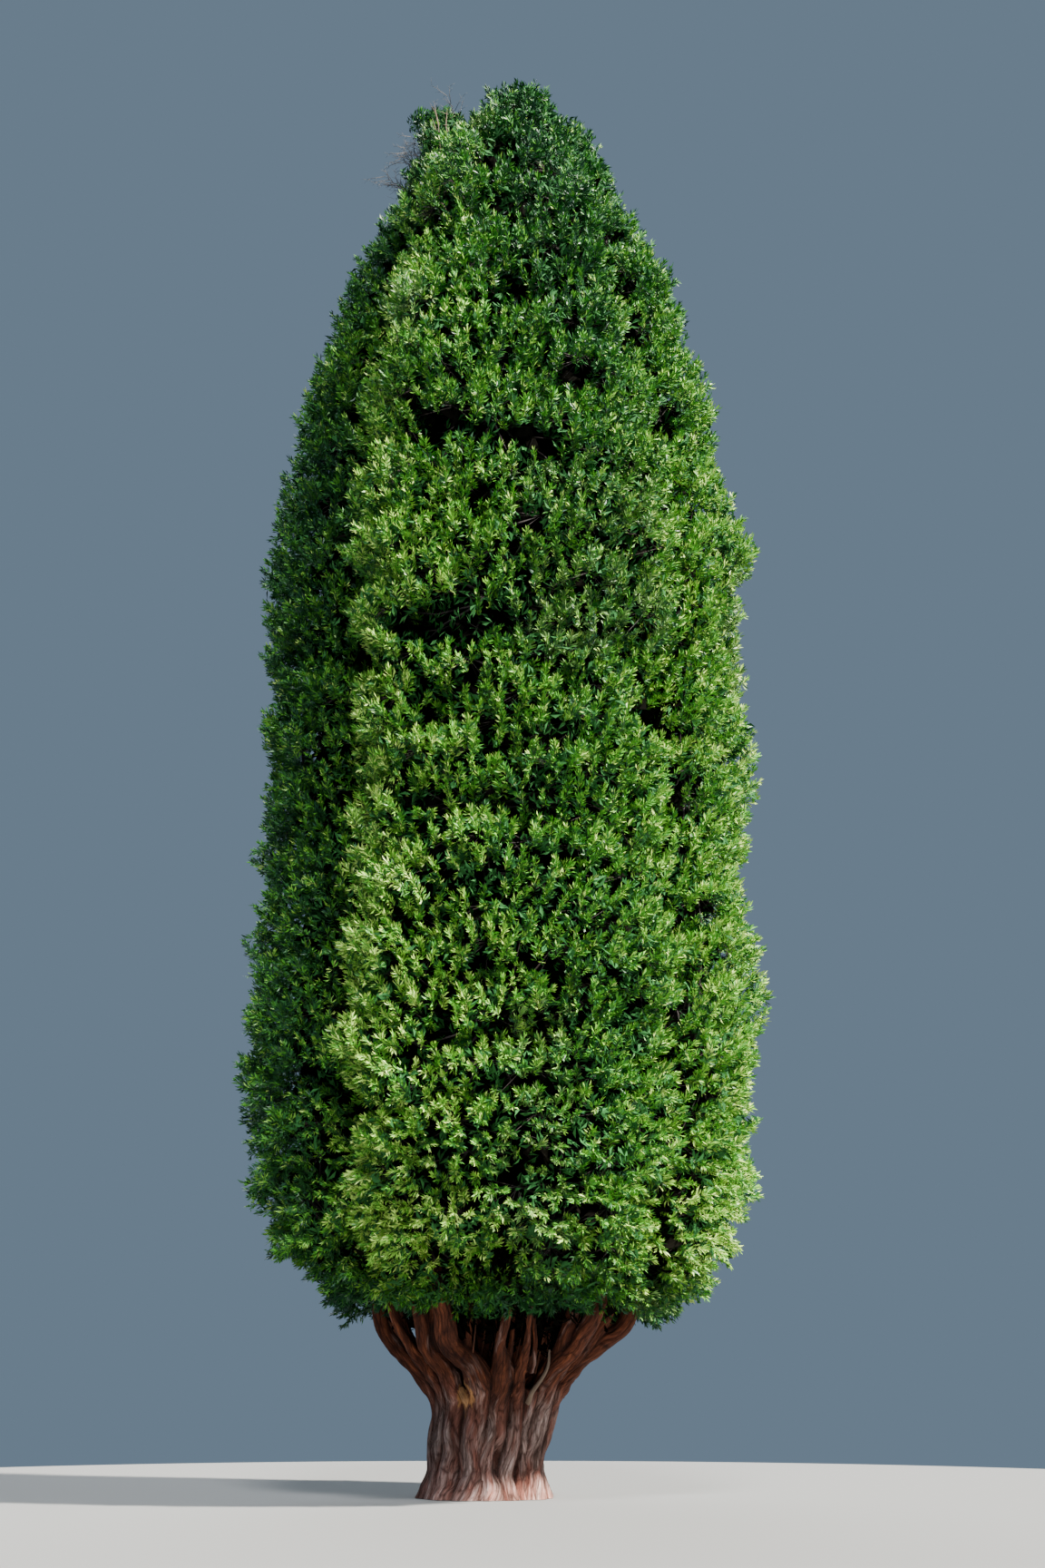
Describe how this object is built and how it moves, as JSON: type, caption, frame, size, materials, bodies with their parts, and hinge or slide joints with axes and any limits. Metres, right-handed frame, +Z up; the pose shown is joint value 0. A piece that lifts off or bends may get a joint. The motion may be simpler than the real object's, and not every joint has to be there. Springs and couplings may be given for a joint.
{
  "type": "incense cedar tree",
  "caption": "Large old incense cedar rooted in the ground: short fluted trunk opening into a vase of upright boughs under a dense column of lobed evergreen foliage.",
  "frame": {"origin": "centre of the flat cut under the trunk, at ground level", "axes": "+Z up along the tree, -Y towards the side that the picture shows, +X to the right seen from that side"},
  "size_m": [7.9544, 8.0018, 23.9998],
  "materials": {
    "bark": "rough fibrous bark, weathered grey-brown",
    "bough_bark": "rough fibrous bark, orange-brown",
    "dead_wood": "bare weathered dead wood, pale grey",
    "foliage_light": "scale leaves in flat sprays, yellow-green tips with a waxy gloss",
    "foliage_mid": "scale leaves in flat sprays, mid green with a waxy gloss",
    "foliage_deep": "older scale leaves inside the crown, deep green and duller"
  },
  "bodies": {
    "root": {"back_left_1": "foliage_light", "back_left_2": "foliage_mid", "back_left_3": "foliage_deep", "back_left_4": "foliage_light", "back_left_5": "foliage_mid", "back_left_skirt_1": "foliage_deep", "back_left_skirt_2": "foliage_light", "back_right_1": "foliage_mid", "back_right_2": "foliage_deep", "back_right_3": "foliage_light", "back_right_4": "foliage_mid", "back_right_5": "foliage_deep", "back_right_skirt_1": "foliage_light", "back_right_skirt_2": "foliage_mid", "bough_01": "bough_bark", "bough_02": "bough_bark", "bough_03": "bough_bark", "bough_04": "bough_bark", "bough_05": "bough_bark", "bough_06": "bough_bark", "bough_07": "bough_bark", "bough_08": "bough_bark", "bough_09": "bough_bark", "bough_10": "bough_bark", "bough_11": "bough_bark", "bough_12": "bough_bark", "bough_13": "bough_bark", "front_1": "foliage_deep", "front_2": "foliage_light", "front_3": "foliage_mid", "front_4": "foliage_deep", "front_5": "foliage_light", "front_skirt_1": "foliage_mid", "front_skirt_2": "foliage_deep", "leader": "bough_bark", "left_1": "foliage_light", "left_2": "foliage_mid", "left_3": "foliage_deep", "left_4": "foliage_light", "left_5": "foliage_mid", "left_skirt_1": "foliage_deep", "left_skirt_2": "foliage_light", "right_1": "foliage_mid", "right_2": "foliage_deep", "right_3": "foliage_light", "right_4": "foliage_mid", "right_5": "foliage_deep", "right_skirt_1": "foliage_light", "right_skirt_2": "foliage_mid", "top_left": "foliage_deep", "top_main": "foliage_light", "trunk": "bark"}
  },
  "joints": []
}
